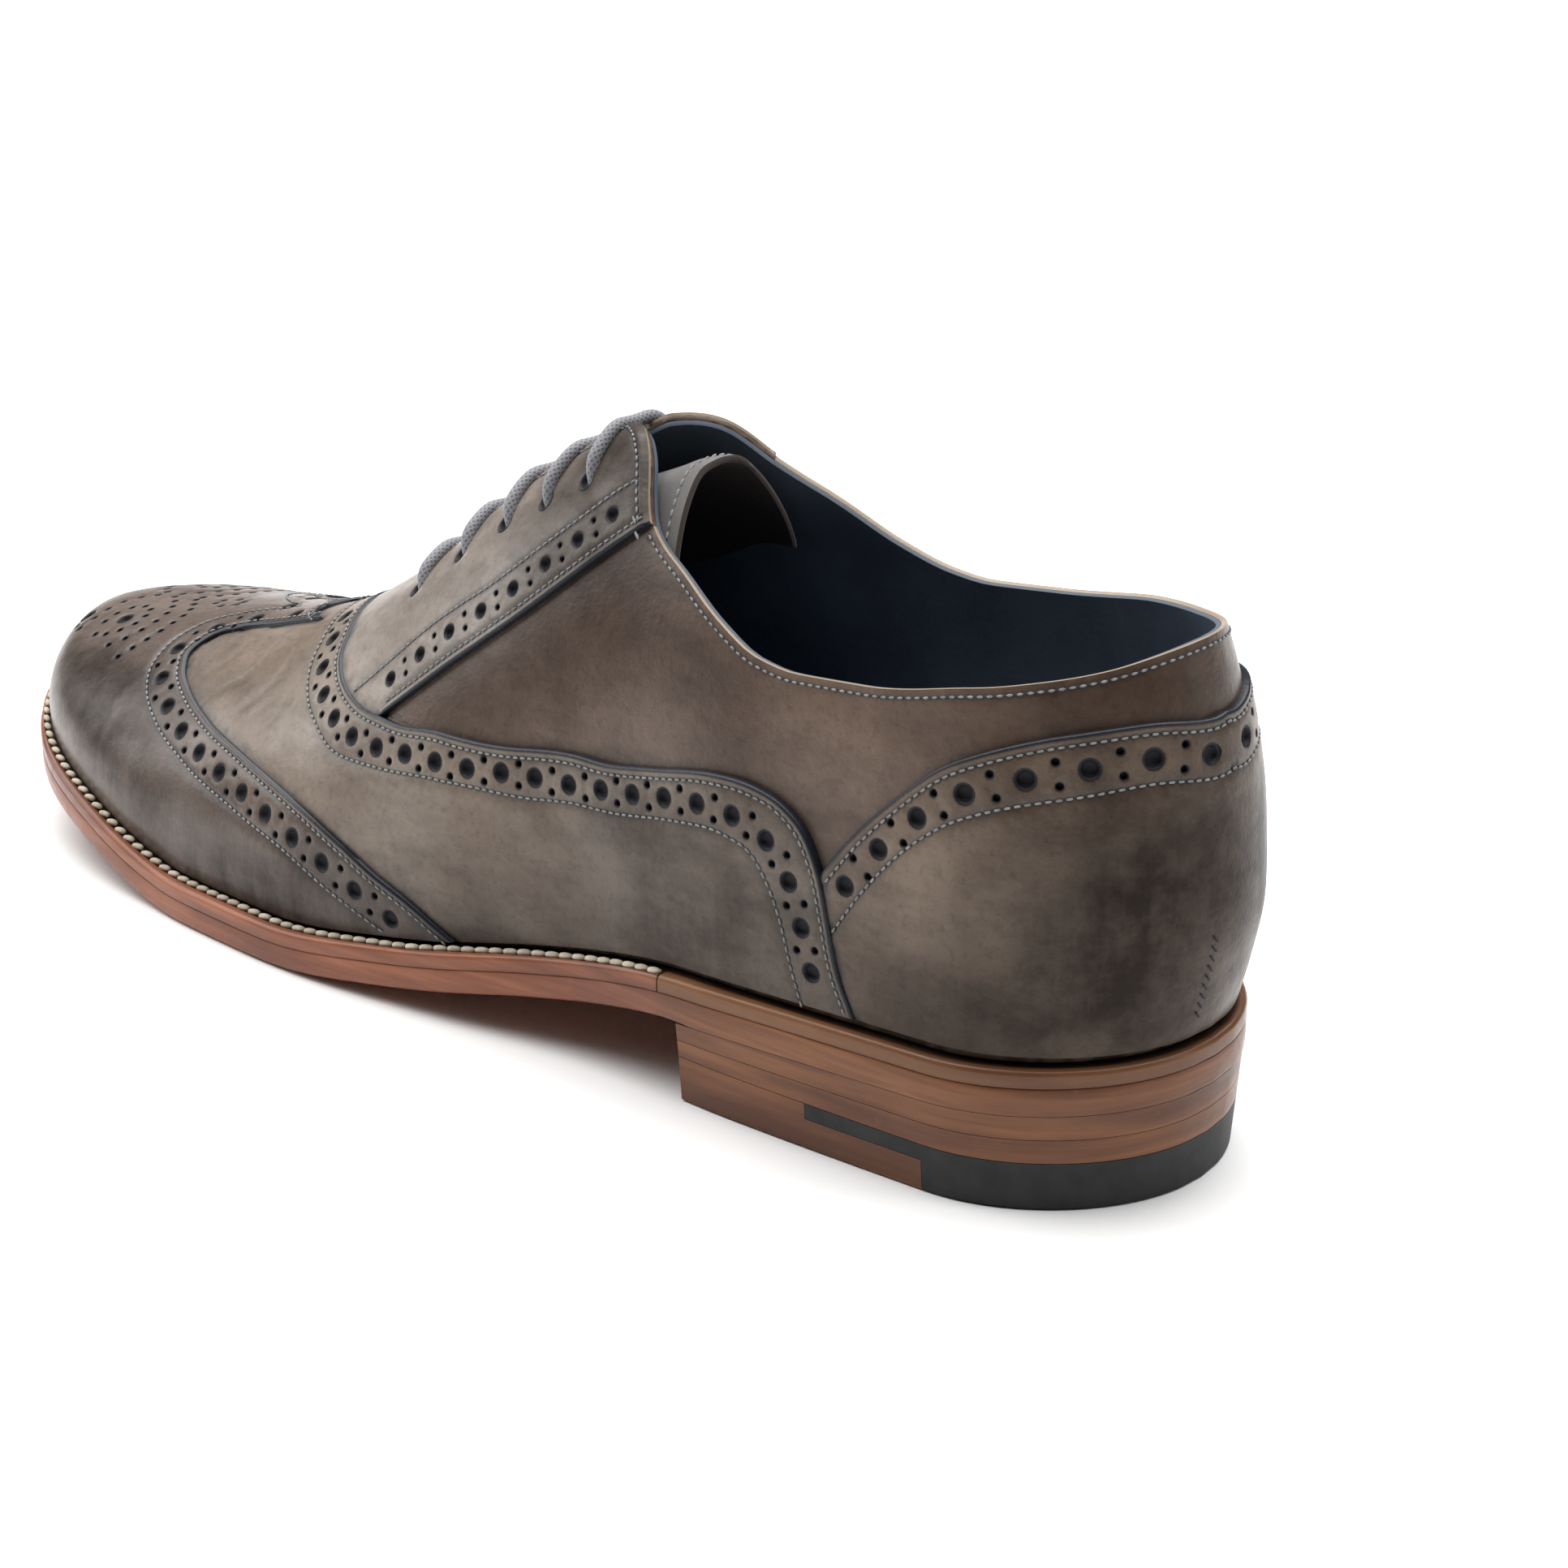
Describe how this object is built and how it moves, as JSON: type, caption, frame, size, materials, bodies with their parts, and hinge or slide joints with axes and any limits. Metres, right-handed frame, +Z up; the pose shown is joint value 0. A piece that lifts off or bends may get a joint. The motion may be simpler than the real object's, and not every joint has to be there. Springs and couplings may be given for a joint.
{
  "type": "brogue shoe",
  "caption": "Left lace-up leather dress shoe with wing toe cap, swept-back vamp, facings, heel counter, welted sole and stacked heel, hollow and open at the collar.",
  "frame": {"origin": "middle of the bounding box at floor level", "axes": "+X towards the heel, toe towards -X, +Y towards the inner side of the foot, +Z up"},
  "size_m": [0.2944, 0.1004, 0.1114],
  "materials": {
    "sole_leather": "burnished edge",
    "welt_leather": "burnished edge",
    "rand_leather": "waxed",
    "heel_leather": "stacked, waxed",
    "tip_rubber": "matt",
    "insole_leather": "lined",
    "upper_leather": "burnished calf",
    "toe_leather": "burnished calf",
    "counter_leather": "burnished calf",
    "tongue_leather": "matt calf",
    "lace_cotton": "waxed cord"
  },
  "bodies": {
    "root": {"outsole": "sole_leather", "welt": "welt_leather", "heel_rand": "rand_leather", "heel_lift_upper": "heel_leather", "heel_lift_lower": "heel_leather", "top_piece": "heel_leather", "heel_tip": "tip_rubber", "insole": "insole_leather", "upper": "upper_leather", "vamp": "upper_leather", "toe_cap": "toe_leather", "heel_counter": "counter_leather", "eyestay_lateral": "upper_leather", "eyestay_medial": "upper_leather", "tongue": "tongue_leather", "lace_bar_1": "lace_cotton", "lace_bar_2": "lace_cotton", "lace_bar_3": "lace_cotton", "lace_bar_4": "lace_cotton", "lace_bar_5": "lace_cotton"}
  },
  "joints": []
}
